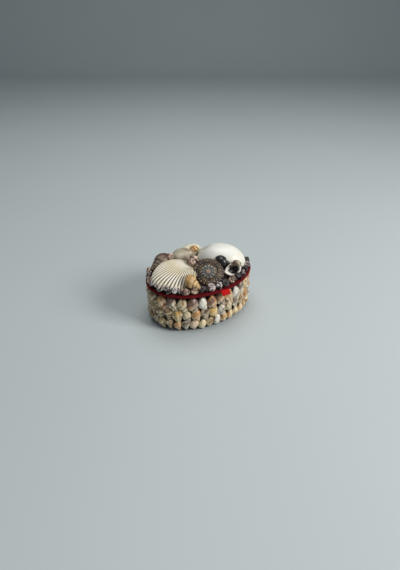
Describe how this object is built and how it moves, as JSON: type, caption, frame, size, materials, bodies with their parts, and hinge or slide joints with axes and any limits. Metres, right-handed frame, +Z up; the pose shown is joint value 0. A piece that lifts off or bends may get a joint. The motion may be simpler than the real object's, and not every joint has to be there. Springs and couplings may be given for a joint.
{
  "type": "shell trinket box",
  "caption": "Oval trinket box covered with rows of small sea shells, with a lift-off lid carrying larger shells and a red ribbon pull tab.",
  "frame": {"origin": "middle of the flat underside", "axes": "+Z up, +X along the length of the oval, -Y towards the front where the pull tab hangs"},
  "size_m": [0.096, 0.0729, 0.0546],
  "materials": {
    "card": "matt dark red card",
    "cloth": "matt dark red padded cloth",
    "satin": "bright red satin ribbon",
    "body_shell": "natural small sea shells, satin",
    "rim_shell": "natural dark sea shells, satin",
    "yellow_whelk": "natural sea shell, satin",
    "patterned_snail_middle": "natural sea shell, satin",
    "black_snail": "natural sea shell, satin",
    "open_mouthed_snail": "natural sea shell, satin",
    "beaded_top_shell": "natural sea shell, satin",
    "ribbed_cockle": "natural sea shell, satin",
    "white_clam": "natural sea shell, satin",
    "tan_snail": "natural sea shell, satin",
    "grey_clam": "natural sea shell, satin",
    "patterned_snail_left": "natural sea shell, satin",
    "brown_spire": "natural sea shell, satin",
    "pale_clam_rear": "natural sea shell, satin"
  },
  "bodies": {
    "root": {"box_body": "card", "body_shells_top_row": "body_shell", "body_shells_middle_row": "body_shell", "body_shells_bottom_row": "body_shell", "lid_board": "card", "lid_edge_band": "cloth", "pull_tab": "satin", "lid_rim_shells": "rim_shell", "yellow_whelk": "yellow_whelk", "patterned_snail_middle": "patterned_snail_middle", "black_snail": "black_snail", "open_mouthed_snail": "open_mouthed_snail", "beaded_top_shell": "beaded_top_shell", "ribbed_cockle": "ribbed_cockle", "white_clam": "white_clam", "tan_snail": "tan_snail", "grey_clam": "grey_clam", "patterned_snail_left": "patterned_snail_left", "brown_spire": "brown_spire", "pale_clam_rear": "pale_clam_rear"}
  },
  "joints": []
}
